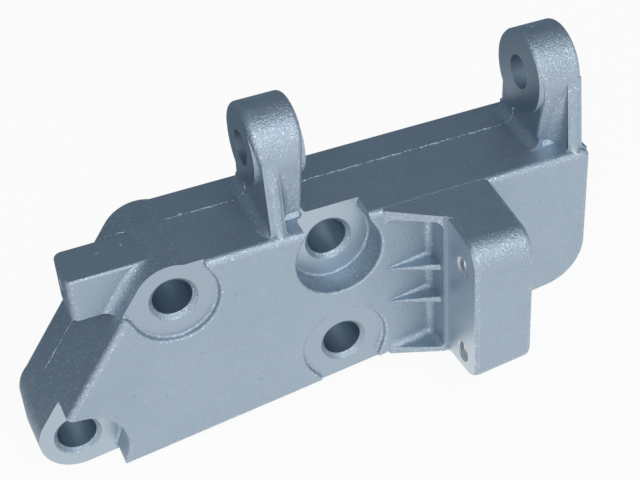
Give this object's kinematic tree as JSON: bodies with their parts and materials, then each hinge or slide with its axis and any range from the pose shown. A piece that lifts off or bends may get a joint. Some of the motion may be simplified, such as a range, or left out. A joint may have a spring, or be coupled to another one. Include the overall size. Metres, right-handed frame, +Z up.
{
  "type": "alternator bracket",
  "caption": "Cast light-metal bracket that bolts to an engine and carries an alternator between two pivot ears.",
  "frame": {"origin": "on the axis of the upper left bolt hole, at the engine side face", "axes": "+X along the pivot axis from the left ear to the right ear, +Y to the engine, +Z up"},
  "size_m": [0.202, 0.072, 0.1176],
  "materials": {
    "cast_metal": "blasted casting with machined faces"
  },
  "bodies": {
    "root": {"bracket_casting": "cast_metal"}
  },
  "joints": []
}
